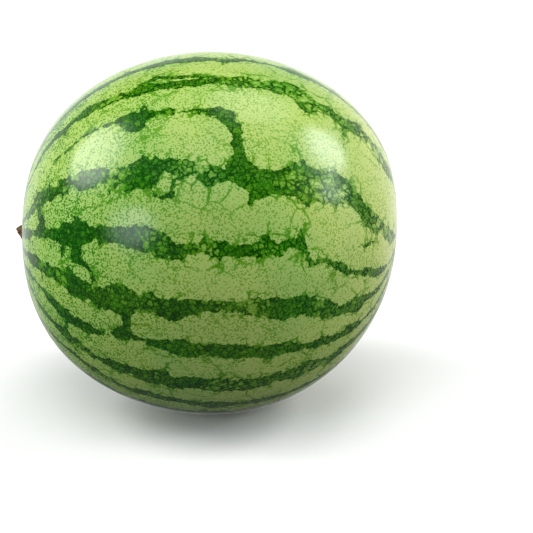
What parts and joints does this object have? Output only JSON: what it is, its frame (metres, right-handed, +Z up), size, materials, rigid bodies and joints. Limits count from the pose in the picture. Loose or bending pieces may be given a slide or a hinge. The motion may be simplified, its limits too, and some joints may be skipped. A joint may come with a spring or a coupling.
{
  "type": "watermelon",
  "caption": "Whole round-oval striped watermelon lying on its side on a small flat spot, with the dried stump of its stem in a shallow basin at one end.",
  "frame": {"origin": "middle of the small flat spot that the fruit rests on", "axes": "+Z up; +X along the fruit's long axis from the stem end to the blossom end; the camera of the picture looks along +Y"},
  "size_m": [0.2523, 0.2414, 0.2392],
  "materials": {
    "rind": "smooth waxy rind: pale green netted with fine dark veins, with jagged dark green stripes from end to end",
    "dried_stem": "dry, dull brown, fibrous and broken off"
  },
  "bodies": {
    "root": {"fruit": "rind", "stem_stump": "dried_stem"}
  },
  "joints": []
}
